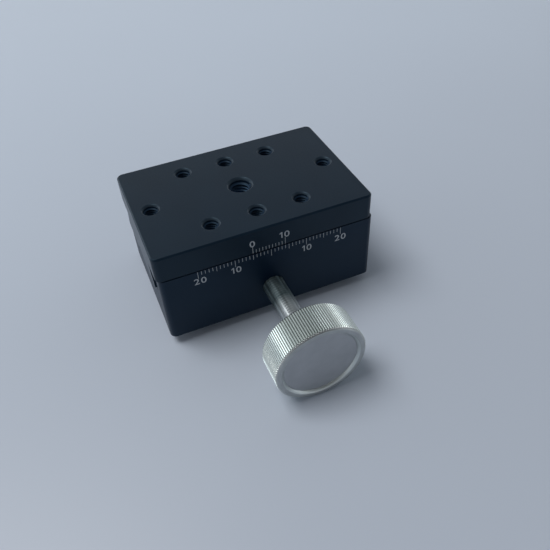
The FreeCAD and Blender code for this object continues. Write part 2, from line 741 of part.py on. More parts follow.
def make_shaft():
    """Shaft turned about Y with its pinion at y = 0 and a flat at the knob end."""
    front = "(knob_back + knob_socket_depth)"
    journal, rear = "shaft_diameter / 2", "rear_journal_diameter / 2"
    core, groove = "pinion_core_diameter / 2", "ring_groove_diameter / 2"
    tap = "(knob_screw_diameter / 2 + thread_fit)"
    tap_depth = "(knob_screw_length - knob_web + knob_tap_runout)"
    groove_end = "(ring_face + ring_thickness + end_float)"
    end = f"({groove_end} + shaft_end_stub)"
    turned_shaft = turned("shaft_turned", [
        (f"{tap_depth} - {front}", "0"), (f"{tap_depth} - {front}", tap), (f"-{front}", tap),
        (f"-{front}", journal),
        ("-pinion_length / 2", journal), ("-pinion_length / 2", core),
        ("pinion_length / 2", core), ("pinion_length / 2", rear),
        ("ring_face", rear), ("ring_face", groove), (groove_end, groove), (groove_end, rear),
        (f"{end} - shaft_end_chamfer", rear), (end, f"{rear} - shaft_end_chamfer"), (end, "0"),
    ])
    flat = sketch_on(turned_shaft, "XZ_Plane", "shaft_flat", front)
    outline(flat, [
        ("-shaft_diameter", f"{journal} - knob_flat_depth"),
        ("shaft_diameter", f"{journal} - knob_flat_depth"),
        ("shaft_diameter", "shaft_diameter"), ("-shaft_diameter", "shaft_diameter"),
    ])
    cut(turned_shaft, flat, "knob_socket_depth")

    wire = fcgear.FCWireBuilder()
    involute.CreateExternalGear(
        wire, number("gear_module"), round(number("pinion_teeth")), number("pressure_angle"),
        split=False, addCoeff=number("addendum"), dedCoeff=number("dedendum"),
        filletCoeff=number("root_fillet"), shiftCoeff=number("pinion_shift"),
    )
    tooth_outline = doc.addObject("Part::Feature", "pinion_outline")
    tooth_outline.Shape = Part.Face(Part.Wire([flank_arc(piece.toShape()) for piece in wire.wire]))
    stand_up = FreeCAD.Rotation(FreeCAD.Vector(1, 0, 0), 90)
    rolled = math.degrees(number("rest_position / pinion_pitch_radius"))
    into_mesh = FreeCAD.Rotation(FreeCAD.Vector(0, 1, 0), rolled - 90)
    tooth_outline.Placement = FreeCAD.Placement(FreeCAD.Vector(0, 0, 0), into_mesh * stand_up)
    teeth = doc.addObject("Part::Extrusion", "pinion_teeth")
    teeth.Base = tooth_outline
    teeth.DirMode = "Custom"
    teeth.Dir = FreeCAD.Vector(0, 1, 0)
    teeth.Symmetric = True
    teeth.Solid = True
    teeth.setExpression("LengthFwd", bound("pinion_length"))
    shaft = doc.addObject("Part::MultiFuse", "pinion_shaft")
    shaft.Label = "pinion_shaft"
    shaft.Shapes = [turned_shaft, teeth]
    put(shaft, z="shaft_height")
    return shaft


def make_bushes():
    journal, rear = "shaft_diameter / 2", "rear_journal_diameter / 2"
    outer = "(shaft_bore / 2 - bush_fit)"
    front_length = "(half_width - front_lip - shoulder)"
    front_bush = ring("front_bush", f"({journal} + running_fit)", outer, front_length)
    put(front_bush, y="front_lip - half_width", z="shaft_height")
    rear_bush = ring("rear_bush", f"({rear} + running_fit)", outer, "rear_bush_length")
    put(rear_bush, y="shoulder", z="shaft_height")
    return [front_bush, rear_bush]


def make_end_retention():
    washer_bore = "(shaft_diameter / 2 + washer_bore_clearance)"
    washer = ring("thrust_washer", washer_bore, "thrust_washer_diameter / 2", "thrust_washer_thickness")
    put(washer, y="-pinion_length / 2 - thrust_washer_thickness", z="shaft_height")
    bore = "(rear_journal_diameter / 2 + washer_bore_clearance)"
    spring = turned("disc_spring", [
        ("0", "spring_diameter / 2"), ("spring_thickness", "spring_diameter / 2"),
        ("spring_height", bore), ("spring_height - spring_thickness", bore),
    ])
    put(spring, y="ring_shoulder + end_float", z="shaft_height")
    clip = new_body("retaining_ring")
    face = sketch_on(clip, "XZ_Plane", "ring_face_outline")
    circle(face, "0", "0", "ring_diameter")
    circle(face, "0", "0", "ring_groove_diameter + 2 * thread_fit")
    pad(clip, face, "ring_thickness", symmetric=False).Reversed = True
    mouth = sketch_on(clip, "XZ_Plane", "ring_mouth")
    outline(mouth, [
        ("-ring_opening / 2", "0"), ("-ring_opening / 2", "-ring_diameter"),
        ("ring_opening / 2", "-ring_diameter"), ("ring_opening / 2", "0"),
    ])
    cut(clip, mouth)
    put(clip, y="ring_face", z="shaft_height")
    return [washer, spring, clip]


# Knob

def make_knob():
    """Knob with its back at y = 0, turned towards -Y, with a flatted socket for the shaft."""
    radius = "(knob_diameter / 2)"
    rim = "(knob_diameter / 2 - knob_rim_width)"
    body = turned("knob", [
        ("0", "0"), ("0", f"{radius} - knob_back_chamfer"), ("-knob_back_chamfer", radius),
        ("knob_front_chamfer - knob_thickness", radius),
        ("-knob_thickness", f"{radius} - knob_front_chamfer"),
        ("-knob_thickness", f"{rim} + knob_mouth_chamfer"),
        ("knob_mouth_chamfer - knob_thickness", rim),
        ("-cap_seat", rim), ("-cap_seat", "knob_screw_counterbore / 2"),
        ("-screw_seat", "knob_screw_counterbore / 2"),
        ("-screw_seat", "0"),
    ])
    through = sketch_on(body, "XZ_Plane", "knob_screw_hole")
    circle(through, "0", "0", "knob_screw_hole")
    cut(body, through, "2 * knob_thickness", symmetric=True)
    socket = sketch_on(body, "XZ_Plane", "knob_socket")
    flatted_circle(socket, "(shaft_diameter / 2 + thread_fit)",
                   "(shaft_diameter / 2 - knob_flat_depth + thread_fit)")
    cut(body, socket, "knob_socket_depth", backwards=True)
    put(body, y="-knob_back", z="shaft_height")
    return body


def flatted_circle(sketch, radius, flat_height):
    """Circle about the sketch origin with a flat across its top."""
    reach, height = number(radius), number(flat_height)
    corner = math.acos(height / reach)
    full = Part.Circle(FreeCAD.Vector(0, 0, 0), FreeCAD.Vector(0, 0, 1), reach)
    start, end = math.pi / 2 + corner, 5 * math.pi / 2 - corner
    arc = sketch.addGeometry(Part.ArcOfCircle(full, start, end), False)
    half_flat = reach * math.sin(corner)
    first, last = FreeCAD.Vector(half_flat, height, 0), FreeCAD.Vector(-half_flat, height, 0)
    chord = sketch.addGeometry(Part.LineSegment(first, last), False)
    sketch.addConstraint(Sketcher.Constraint("Coincident", arc, 3, -1, 1))
    sketch.addConstraint(Sketcher.Constraint("Coincident", arc, 2, chord, 1))
    sketch.addConstraint(Sketcher.Constraint("Coincident", chord, 2, arc, 1))
    sketch.addConstraint(Sketcher.Constraint("Horizontal", chord))
    drive(sketch, "Radius", arc, size=radius)
    drive(sketch, "DistanceY", -1, 1, chord, 1, size=flat_height)


def make_knob_fittings():
    rim = "(knob_diameter / 2 - knob_rim_width - cap_clearance)"
    cap = ring("knob_cap", "0", rim, "cap_thickness")
    put(cap, y="-knob_back - cap_seat - cap_thickness", z="shaft_height")
    screw = cap_screw(
        "knob_screw", "knob_screw_diameter", "knob_screw_length",
        "knob_screw_head", "knob_screw_head_height", "knob_screw_socket",
    )
    put(screw, y="knob_screw_length - knob_back - screw_seat", z="shaft_height")
    screw.Placement = FreeCAD.Placement(
        screw.Placement.Base, FreeCAD.Rotation(FreeCAD.Vector(0, 0, 1), 180)
    )
    return [cap, screw]


pieces = [make_base(), make_gib()]
pieces += [make_gib_screw(count, x) for count, x in enumerate(gib_screw_places(), start=1)]
pieces += [make_clamp_pad(), make_clamp_screw(), make_stop_screw()]
pieces += make_bushes()
pieces += [make_table(), make_rack()]
pieces += [make_rack_screw("rack_screw_left", "-"), make_rack_screw("rack_screw_right", "")]
pieces += [make_shaft(), *make_end_retention(), make_knob(), *make_knob_fittings()]
doc.recompute()

for thing in doc.Objects:
    if "Invalid" in thing.State or "Error" in thing.State:
        raise RuntimeError(f"{thing.Name} failed: {thing.State}")
for piece in pieces:
    if piece.Shape.isNull() or not piece.Shape.isValid() or len(piece.Shape.Solids) != 1:
        raise RuntimeError(f"{piece.Label} is not one valid solid")

os.makedirs("parts", exist_ok=True)
for piece in pieces:
    piece.Shape.exportStep(f"parts/{piece.Label}.step")
    print(piece.Label, round(piece.Shape.Volume, 2))
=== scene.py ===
"""Looks of the manual translation stage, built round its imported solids."""
import math

import bmesh
import bpy
from mathutils import Matrix, Vector


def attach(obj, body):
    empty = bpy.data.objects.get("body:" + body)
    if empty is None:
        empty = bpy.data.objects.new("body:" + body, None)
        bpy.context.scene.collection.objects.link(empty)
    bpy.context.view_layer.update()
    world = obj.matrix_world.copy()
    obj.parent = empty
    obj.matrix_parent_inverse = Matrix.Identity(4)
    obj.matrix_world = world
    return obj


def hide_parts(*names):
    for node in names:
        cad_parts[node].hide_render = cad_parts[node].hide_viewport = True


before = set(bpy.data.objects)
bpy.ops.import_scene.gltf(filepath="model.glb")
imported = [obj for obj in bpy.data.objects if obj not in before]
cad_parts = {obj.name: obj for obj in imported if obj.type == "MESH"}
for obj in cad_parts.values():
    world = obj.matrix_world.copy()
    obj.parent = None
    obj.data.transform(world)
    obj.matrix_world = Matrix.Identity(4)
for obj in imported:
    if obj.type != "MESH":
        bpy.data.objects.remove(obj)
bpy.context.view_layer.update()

MM = 0.001
FULL_TURN = 2 * math.pi

# Sizes in millimetres, as in the solids; REST is the x of the table's middle in the photo's pose
REST = -0.5
HALF_LENGTH, HALF_WIDTH = 30, 20
SPLIT_LOW, SPLIT_HIGH = 21, 21.3
TABLE_TOP = 28.6
SHAFT_HEIGHT = 8
KNOB_BACK, KNOB_FRONT = -41, -50
KNOB_RADIUS = 12

# Points of a skin that are one, points where one pitch meets the next, and the angle of a sharp edge
SAME_POINT = 0.0005
SAME_SEAM = 0.002
CREASE = 35


# Building helpers

def add(tree, kind, wires=None, **settings):
    """Add a node; each wire is another node's socket or a plain value."""
    made = tree.nodes.new(kind)
    for label, value in settings.items():
        setattr(made, label, value)
    for socket, value in (wires or {}).items():
        if isinstance(value, bpy.types.NodeSocket):
            tree.links.new(value, made.inputs[socket])
        else:
            made.inputs[socket].default_value = value
    return made


def open_tree(name, inputs):
    """New geometry tree: the tree, its inputs by name and its end."""
    tree = bpy.data.node_groups.new(name, "GeometryNodeTree")
    for label, kind in [("Piece", "Geometry"), *inputs, ("Material", "Material")]:
        tree.interface.new_socket(label, in_out="INPUT", socket_type=f"NodeSocket{kind}")
    tree.interface.new_socket("Piece", in_out="OUTPUT", socket_type="NodeSocketGeometry")
    return tree, tree.nodes.new("NodeGroupInput").outputs, tree.nodes.new("NodeGroupOutput")


def close_tree(tree, given, end, copies, weld=None):
    """End a tree with its copies made real, welded where weld gives a distance, in the given finish."""
    skin = add(tree, "GeometryNodeRealizeInstances", {0: copies.outputs[0]})
    if weld:
        skin = add(tree, "GeometryNodeMergeByDistance", {0: skin.outputs[0], "Distance": weld})
    done = add(tree, "GeometryNodeSetMaterial", {0: skin.outputs[0], "Material": given["Material"]})
    tree.links.new(done.outputs[0], end.inputs[0])
    return tree


def turned_pitches_tree():
    """A knurl or a thread from one pitch of it: copies turned about Z, each a step further, in one skin."""
    tree, given, end = open_tree("turned pitches", [
        ("Count", "Int"), ("Turn", "Float"), ("Step", "Vector"), ("Weld", "Float"),
    ])
    row = add(tree, "GeometryNodeMeshLine", {"Count": given["Count"], "Offset": given["Step"]})
    place = add(tree, "GeometryNodeInputIndex")
    turn = add(tree, "ShaderNodeMath", {0: place.outputs[0], 1: given["Turn"]}, operation="MULTIPLY")
    about_z = add(tree, "ShaderNodeCombineXYZ", {"Z": turn.outputs[0]})
    copies = add(tree, "GeometryNodeInstanceOnPoints", {
        "Points": row.outputs[0], "Instance": given["Piece"], "Rotation": about_z.outputs[0],
    })
    return close_tree(tree, given, end, copies, given["Weld"])


def threads_in_holes_tree():
    """One thread repeated at every point of the given mesh, the mouths of its holes."""
    tree, given, end = open_tree("threads in holes", [("Thread", "Object")])
    thread_shape = add(tree, "GeometryNodeObjectInfo", {"Object": given["Thread"]})
    copies = add(tree, "GeometryNodeInstanceOnPoints", {
        "Points": given["Piece"], "Instance": thread_shape.outputs["Geometry"],
    })
    return close_tree(tree, given, end, copies)


def graduations_tree():
    """A row of bars along X, longer at each fifth and each tenth, hanging from y = 0."""
    tree, given, end = open_tree("graduations", [
        ("Count", "Int"), ("Pitch", "Float"), ("Short", "Float"), ("Fifth", "Float"), ("Tenth", "Float"),
        ("Width", "Float"), ("Depth", "Float"),
    ])

    def math_node(operation, first, second):
        return add(tree, "ShaderNodeMath", {0: first, 1: second}, operation=operation).outputs[0]

    place = add(tree, "GeometryNodeInputIndex").outputs[0]
    length = given["Short"]
    for every, longer, shorter in ((5, "Fifth", "Short"), (10, "Tenth", "Fifth")):
        falls_here = math_node("LESS_THAN", math_node("MODULO", place, every), 0.5)
        extra = math_node("SUBTRACT", given[longer], given[shorter])
        length = math_node("ADD", length, math_node("MULTIPLY", falls_here, extra))
    step = add(tree, "ShaderNodeCombineXYZ", {"X": given["Pitch"]})
    row = add(tree, "GeometryNodeMeshLine", {"Count": given["Count"], "Offset": step.outputs[0]})
    bar = add(tree, "GeometryNodeMeshCube")
    hung = add(tree, "GeometryNodeTransform", {0: bar.outputs[0], "Translation": (0, -0.5, 0)})
    size = add(tree, "ShaderNodeCombineXYZ", {"X": given["Width"], "Y": length, "Z": given["Depth"]})
    copies = add(tree, "GeometryNodeInstanceOnPoints", {
        "Points": row.outputs[0], "Instance": hung.outputs[0], "Scale": size.outputs[0],
    })
    return close_tree(tree, given, end, copies)


TURNED_PITCHES = turned_pitches_tree()
THREADS_IN_HOLES = threads_in_holes_tree()
GRADUATIONS = graduations_tree()


def new_object(name, data):
    made = bpy.data.objects.new(name, data)
    bpy.context.scene.collection.objects.link(made)
    return made


def new_mesh(name, skin):
    """The finished bmesh as a mesh of that name."""
    mesh = bpy.data.meshes.new(name)
    skin.to_mesh(mesh)
    skin.free()
    return mesh


def as_mesh(thing):
    """The thing's evaluated shape as a plain mesh."""
    seen = bpy.context.evaluated_depsgraph_get()
    return bpy.data.meshes.new_from_object(thing.evaluated_get(seen))


def keep_result(piece):
    """Make what the piece's modifiers give its own plain mesh, and take them off."""
    result = as_mesh(piece)
    piece.modifiers.clear()
    piece.data = result


def finish_faces(mesh, finishes, choose=lambda centre: 0):
    """Give the mesh these finishes, chosen for each face from its centre in mm."""
    mesh.materials.clear()
    for finish in finishes:
        mesh.materials.append(finish)
    for face in mesh.polygons:
        face.material_index = choose(face.center / MM)


def grown(name, start, tree, inputs):
    """Run a tree on a mesh with its inputs set by name, and keep the plain result."""
    piece = new_object(name, start)
    modifier = piece.modifiers.new(tree.name, "NODES")
    modifier.node_group = tree
    for item in tree.interface.items_tree:
        if item.in_out == "INPUT" and item.name in inputs:
            modifier[item.identifier] = inputs[item.name]
    keep_result(piece)
    finish_faces(piece.data, [inputs["Material"]])
    return piece


def settle(piece, body, place=Matrix(), stands_for=(), crease=CREASE, flats=False):
    """Put a piece in its place in its mesh, close and smooth its skin, and let it ride on its body.

    With flats, the wide flat faces keep their own shading up to the small rounds beside them.
    """
    piece.data.transform(place)
    skin = bmesh.new()
    skin.from_mesh(piece.data)
    bmesh.ops.remove_doubles(skin, verts=skin.verts, dist=SAME_POINT * MM)
    open_edges = [edge for edge in skin.edges if edge.is_boundary]
    if open_edges:
        bmesh.ops.holes_fill(skin, edges=open_edges)
    bmesh.ops.recalc_face_normals(skin, faces=skin.faces)
    skin.to_mesh(piece.data)
    skin.free()
    piece.data.shade_smooth()
    piece.data.set_sharp_from_angle(angle=math.radians(crease))
    if flats:
        weighted = piece.modifiers.new("flat faces", "WEIGHTED_NORMAL")
        weighted.keep_sharp = True
        keep_result(piece)
    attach(piece, body)
    if stands_for:
        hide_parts(*stands_for)


def pitch_wedge(name, profile, turn, columns=((0, None),), rise=0):
    """One pitch of a form turned about Z, from a closed profile of (height, radius).

    Each column is a share of the pitch and the radius that its flute cuts down to.
    """
    wedge = bmesh.new()
    rows = []
    for share, limit in (*columns, (1, columns[0][1])):
        angle = turn * share
        row = []
        for height, radius in profile:
            reach = (radius if limit is None else min(radius, limit)) * MM
            where = (reach * math.cos(angle), reach * math.sin(angle), (height + rise * share) * MM)
            row.append(wedge.verts.new(where))
        rows.append(row)
    for row, following in zip(rows, rows[1:]):
        for here in range(len(profile)):
            there = (here + 1) % len(profile)
            wedge.faces.new((row[here], following[here], following[there], row[there]))
    return new_mesh(name, wedge)


def at(x=0, y=0, z=0):
    return Matrix.Translation(Vector((x, y, z)) * MM)


FACING_FRONT = Matrix.Rotation(math.radians(90), 4, "X")
UPSIDE_DOWN = Matrix.Rotation(math.radians(180), 4, "Z")


# Finishes

ANODIC_TINT = (0.52, 0.8, 1.0, 1)

# Noise keeps mostly to this range, and a wave pattern of scale 1 turns this many radians a metre
NOISE_LOW, NOISE_HIGH = 0.3, 0.7
WAVE_RADIANS = 20

# Grains are counted per metre, and depths are in mm
DYE_GRAINS, WORN_GRAINS, BLASTED_GRAINS = 70, 2200, 5200
BLASTED_DEPTH = 0.004
DRAWN_DEPTH = 0.002
TURNED_GRAINS = 350
FILL_GRAINS, FILL_DEPTH = 2500, 0.003


def new_finish(name, sockets):
    """Material whose plain values sit straight on the shader's sockets."""
    material = bpy.data.materials.new(name)
    material.use_nodes = True
    tree = material.node_tree
    surface = tree.nodes["Principled BSDF"]
    for label, value in sockets.items():
        surface.inputs[label].default_value = value
    place = add(tree, "ShaderNodeTexCoord").outputs["Object"]
    return material, tree, surface.inputs, place


def ramp(tree, value, start, stop, low=0.0, high=1.0, curve="LINEAR"):
    """Carry a value over from the range start to stop to the range low to high, held at its ends."""
    return add(tree, "ShaderNodeMapRange", {
        "Value": value, "From Min": start, "From Max": stop, "To Min": low, "To Max": high,
    }, interpolation_type=curve).outputs[0]


def spread(tree, value, low=0.0, high=1.0):
    """Stretch a pattern's middle range to run from low to high."""
    return ramp(tree, value, NOISE_LOW, NOISE_HIGH, low, high)


def along(tree, place, axis):
    return add(tree, "ShaderNodeSeparateXYZ", {0: place}).outputs[axis]


def grain(tree, place, scale, detail=2, stretch=(1, 1, 1)):
    """Cloudy pattern, grains per metre, drawn out along an axis where stretch is small."""
    drawn = add(tree, "ShaderNodeMapping", {"Vector": place, "Scale": stretch})
    return add(tree, "ShaderNodeTexNoise", {
        "Vector": drawn.outputs[0], "Scale": scale, "Detail": detail,
    }).outputs[0]


def from_shaft(tree, place, scale=(1, 1, 1)):
    """Place as seen from the shaft's axis."""
    to_axis = (0, 0, -SHAFT_HEIGHT * MM)
    return add(tree, "ShaderNodeMapping", {"Vector": place, "Location": to_axis, "Scale": scale}).outputs[0]


def out_from_shaft(tree, place):
    """Distance from the shaft's axis, in metres."""
    across = from_shaft(tree, place, (1, 0, 1))
    return add(tree, "ShaderNodeVectorMath", {0: across}, operation="LENGTH").outputs["Value"]


def turning_marks(tree, place, pitch, kind):
    """Lathe marks round the shaft's axis: RINGS on end faces, BANDS along a shaft."""
    wave = {"Vector": from_shaft(tree, place), "Scale": FULL_TURN / (WAVE_RADIANS * pitch * MM),
            "Distortion": 1.2, "Detail": 2, "Detail Scale": 1.5}
    return add(tree, "ShaderNodeTexWave", wave,
               wave_type=kind, rings_direction="Y", bands_direction="Y").outputs[1]


def two_tone(tree, amount, first, second):
    """Goes from the first tone to the second; a tone is three numbers or another node's socket."""
    first, second = (
        tone if isinstance(tone, bpy.types.NodeSocket) else (*tone, 1) for tone in (first, second))
    return add(tree, "ShaderNodeMix", {0: amount, 6: first, 7: second}, data_type="RGBA").outputs[2]


def dent(tree, sockets, pattern, depth, strength):
    """Raise the surface by a pattern, depth in millimetres."""
    bump = add(tree, "ShaderNodeBump", {"Height": pattern, "Distance": depth * MM, "Strength": strength})
    tree.links.new(bump.outputs[0], sockets["Normal"])


def anodised(name, dark, light, rough, shine=0.42, painted_deep_light=None):
    """Bead-blasted aluminium under a dyed anodic layer.

    The last argument is (from, to, tone), painted light: from one height in mm to the other the
    colour goes over to that paler tone, lifting the shade down a tapped hole.
    """
    material, tree, sockets, place = new_finish(
        name, {"Specular IOR Level": shine, "Specular Tint": ANODIC_TINT})
    tone = two_tone(tree, spread(tree, grain(tree, place, DYE_GRAINS, detail=3)), dark, light)
    if painted_deep_light:
        start, stop, painted_light_tone = painted_deep_light
        depth = ramp(tree, along(tree, place, "Z"), start * MM, stop * MM)
        tone = two_tone(tree, depth, tone, painted_light_tone)
    tree.links.new(tone, sockets["Base Color"])
    tree.links.new(spread(tree, grain(tree, place, WORN_GRAINS, detail=4), *rough), sockets["Roughness"])
    dent(tree, sockets, grain(tree, place, BLASTED_GRAINS, detail=3), BLASTED_DEPTH, strength=0.4)
    return material


def metal(name, dark, light, rough, scale=1200, stretch=(1, 1, 1)):
    """Bare or plated metal with a drawn, cast or rolled grain."""
    material, tree, sockets, place = new_finish(name, {"Metallic": 1.0})
    cloud = grain(tree, place, scale, detail=3, stretch=stretch)
    tree.links.new(two_tone(tree, spread(tree, cloud), dark, light), sockets["Base Color"])
    tree.links.new(spread(tree, cloud, *rough), sockets["Roughness"])
    dent(tree, sockets, grain(tree, place, 3 * scale, stretch=stretch), DRAWN_DEPTH, strength=0.5)
    return material


def turned_metal(name, dark, light, rough, kind, pitch, depth, painted_shading=None):
    """Metal turned on a lathe about the shaft's axis.

    The last argument is (what, from, to, tone, roughness), painted light or shade: along y
    or out from the axis in mm, the metal goes from that painted tone and roughness to its own.
    """
    material, tree, sockets, place = new_finish(name, {"Metallic": 1.0})
    marks = turning_marks(tree, place, pitch, kind)
    tone = two_tone(tree, spread(tree, grain(tree, place, TURNED_GRAINS, detail=3)), dark, light)
    roughness = spread(tree, marks, *rough)
    # Painted light or shade: a tone laid over the metal's own between two places
    if painted_shading:
        what, start, stop, painted_tone, rough_there = painted_shading
        reach = along(tree, place, "Y") if what == "along" else out_from_shaft(tree, place)
        amount = ramp(tree, reach, start * MM, stop * MM)
        tone = two_tone(tree, amount, painted_tone, tone)
        roughness = add(tree, "ShaderNodeMix", {0: amount, 2: rough_there, 3: roughness}).outputs[0]
    tree.links.new(tone, sockets["Base Color"])
    tree.links.new(roughness, sockets["Roughness"])
    dent(tree, sockets, marks, depth, strength=0.7)
    return material


def filled_marks(name, dark, light):
    """White fill in the engraved lines, a little uneven."""
    material, tree, sockets, place = new_finish(name, {"Specular IOR Level": 0.3, "Roughness": 0.6})
    cloud = grain(tree, place, FILL_GRAINS, detail=3)
    tree.links.new(two_tone(tree, spread(tree, cloud), dark, light), sockets["Base Color"])
    dent(tree, sockets, cloud, FILL_DEPTH, strength=0.5)
    return material


# Heights between which a thread's painted light grows, paler further down its hole
PAINTED_LIGHT_TOP, PAINTED_LIGHT_FULL = TABLE_TOP - 1.4, TABLE_TOP - 4.2

TABLE_ANODISED = anodised("table black anodised", (0.001, 0.005, 0.014), (0.002, 0.008, 0.019), (0.38, 0.5))
# The table's end faces get a lighter, shinier copy of its anodising: a painted reflection of the bright room
# beside them
END_ANODISED_PAINTED_LIGHT = anodised(
    "end black anodised, painted light", (0.003, 0.01, 0.022), (0.005, 0.013, 0.028), (0.3, 0.38), shine=0.62)
SINK_ANODISED = anodised(
    "countersink black anodised", (0.014, 0.022, 0.034), (0.020, 0.029, 0.042), (0.36, 0.48))
# The threads get a lighter copy of the table's anodising, painted paler still down the hole: painted light
# where the hole is in shade
THREAD_ANODISED_PAINTED_LIGHT = anodised(
    "thread black anodised, painted light", (0.006, 0.017, 0.038), (0.009, 0.023, 0.048), (0.46, 0.58), shine=0.24,
    painted_deep_light=(PAINTED_LIGHT_TOP, PAINTED_LIGHT_FULL, (0.13, 0.24, 0.40)))
BASE_ANODISED = anodised(
    "base black anodised", (0.001, 0.0065, 0.020), (0.002, 0.0095, 0.026), (0.36, 0.48), shine=0.34)
# The knurl's grooves are painted dark: painted shade where the flanks hide each other from the light
KNOB_ALUMINIUM = turned_metal(
    "knob turned aluminium", (0.88, 0.95, 0.90), (0.93, 1.0, 0.95), (0.16, 0.24),
    "RINGS", pitch=0.16, depth=0.001,
    painted_shading=("out", KNOB_RADIUS - 0.24, KNOB_RADIUS - 0.05, (0.17, 0.19, 0.19), 0.34))
# One aluminium with the knob: the rim face is painted darker, painted shade, and the recess inside it
# lighter, a painted highlight
RIM_ALUMINIUM_PAINTED_SHADING = turned_metal(
    "rim faced aluminium, painted shading", (0.42, 0.44, 0.44), (0.50, 0.52, 0.52), (0.38, 0.48),
    "RINGS", pitch=0.12, depth=0.0015, painted_shading=("out", 10.3, 10.5, (0.66, 0.70, 0.69), 0.42))
CAP_ALUMINIUM = turned_metal(
    "cap matte aluminium", (0.44, 0.455, 0.475), (0.48, 0.495, 0.515), (0.5, 0.6),
    "RINGS", pitch=0.25, depth=0.0015)
# The shaft is painted dark, painted shade for the dark block it reflects, and its end by the knob lighter, a
# painted reflection of the room above
SHAFT_STEEL = turned_metal(
    "shaft turned steel", (0.08, 0.11, 0.12), (0.14, 0.18, 0.19), (0.54, 0.7),
    "BANDS", pitch=0.8, depth=0.045, painted_shading=("along", -32, -27, (0.5, 0.54, 0.56), 0.5))
RACK_STEEL = metal(
    "rack ground steel", (0.27, 0.28, 0.3), (0.36, 0.37, 0.39), (0.28, 0.42), 900, (0.05, 1, 1))
BLACK_STEEL = metal("black oxide steel", (0.03, 0.032, 0.036), (0.055, 0.057, 0.062), (0.32, 0.46))
SPRING_STEEL = metal("spring steel", (0.3, 0.31, 0.33), (0.38, 0.39, 0.42), (0.25, 0.35))
GIB_BRASS = metal(
    "gib milled brass", (0.6, 0.42, 0.16), (0.74, 0.55, 0.25), (0.26, 0.4), 500, (0.06, 1, 1))
BUSH_BRONZE = metal("bush sintered bronze", (0.46, 0.27, 0.12), (0.6, 0.38, 0.19), (0.35, 0.5), 3000)
MARK_FILL = filled_marks("white mark fill", (0.36, 0.39, 0.42), (0.52, 0.55, 0.58))


# Solids that keep their CAD mesh

CARRIED_OVER = (
    (GIB_BRASS, ("gib", "clamp_pad")),
    (BUSH_BRONZE, ("front_bush", "rear_bush", "thrust_washer")),
    (RACK_STEEL, ("rack",)),
    (SPRING_STEEL, ("disc_spring", "retaining_ring")),
    (CAP_ALUMINIUM, ("knob_cap",)),
    (BLACK_STEEL, ("gib_screw_1", "gib_screw_2", "gib_screw_3", "gib_screw_4", "stop_screw",
                   "rack_screw_left", "rack_screw_right", "knob_screw", "clamp_screw")),
)
for finish, nodes in CARRIED_OVER:
    for node in nodes:
        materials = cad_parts[node].data.materials
        materials.clear()
        materials.append(finish)


# Block, table and shaft: the solids' own shapes as clean skins, block and table with their edges broken

EDGE_BREAK = 0.06
FLAT_ANGLE = 0.5


def clean_skin(node, name, body, finish, width=0, change=None):
    """The node's own shape, merged, with each sharp edge rounded where width gives a size in mm."""
    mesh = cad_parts[node].data.copy()
    skin = bmesh.new()
    skin.from_mesh(mesh)
    bmesh.ops.remove_doubles(skin, verts=skin.verts, dist=SAME_POINT * MM)
    bmesh.ops.dissolve_limit(
        skin, angle_limit=math.radians(FLAT_ANGLE), verts=skin.verts, edges=skin.edges)
    skin.to_mesh(mesh)
    skin.free()
    mesh.materials.clear()
    mesh.materials.append(finish)
    piece = new_object(name, mesh)
    if width:
        bevel = piece.modifiers.new("broken edges", "BEVEL")
        bevel.width = width * MM
        bevel.segments = 2
        bevel.limit_method = "ANGLE"
        bevel.angle_limit = math.radians(CREASE)
        bevel.miter_outer = "MITER_ARC"
        keep_result(piece)
    if change:
        change(piece.data)
    settle(piece, body, stands_for=(node,), flats=bool(width))


# Tapped holes of the table: x from its middle, y, thread radius, depth of the countersink
TAPPED_HOLES = [(0, 0, 3.0, 0.72)] + [(x, y, 2.0, 0.56) for x, y in (
    (-12.5, -12.5), (-12.5, 12.5), (12.5, -12.5), (12.5, 12.5), (0, -12.5), (0, 12.5), (-25, 0), (25, 0))]

# Chamfer of the solid's holes with its broken edges, the depths between which a wall is threaded, and margins
CAD_COUNTERSINK = 0.34
THREAD_START, THREAD_END = 0.6, 6
POINT_MARGIN, WALL_MARGIN, SINK_MARGIN, END_MARGIN = 0.01, 0.02, 0.03, 0.05


def out_from(x, y, where):
    """Distance in mm from the axis of a hole of the table."""
    return math.hypot(where.x - (x + REST), where.y - y)


def dress_table(mesh):
    """Widen the small chamfer at each tapped hole to the one in the photo, and finish each face."""
    for vertex in mesh.vertices:
        where = vertex.co / MM
        below = TABLE_TOP - where.z
        for x, y, radius, sink in TAPPED_HOLES:
            beyond = out_from(x, y, where) - radius
            outermost = CAD_COUNTERSINK + POINT_MARGIN
            if below < outermost and -POINT_MARGIN < beyond < outermost:
                wider = sink / CAD_COUNTERSINK
                reach = (radius + beyond * wider) / (radius + beyond)
                vertex.co.x = ((where.x - x - REST) * reach + x + REST) * MM
                vertex.co.y = ((where.y - y) * reach + y) * MM
                vertex.co.z = (TABLE_TOP - below * wider) * MM
    finish_faces(mesh, [TABLE_ANODISED, THREAD_ANODISED_PAINTED_LIGHT, END_ANODISED_PAINTED_LIGHT, SINK_ANODISED], table_finish_at)


def table_finish_at(centre):
    """Place in the list of the table's finishes for a face: 0 plain, 1 thread, 2 end, 3 countersink."""
    if abs(centre.x - REST) > HALF_LENGTH - END_MARGIN:
        return 2
    below = TABLE_TOP - centre.z
    for x, y, radius, sink in TAPPED_HOLES:
        out = out_from(x, y, centre)
        if SINK_MARGIN < below < sink - WALL_MARGIN and out < radius + sink:
            return 3
        if THREAD_START < below < THREAD_END and out < radius + WALL_MARGIN:
            return 1
    return 0


clean_skin("base_block", "base_block_machined", "base", BASE_ANODISED, EDGE_BREAK)
clean_skin("moving_table", "moving_table_machined", "table", TABLE_ANODISED,
           EDGE_BREAK, dress_table)
clean_skin("pinion_shaft", "pinion_shaft_turned", "drive", SHAFT_STEEL)


# Knob with its straight knurl

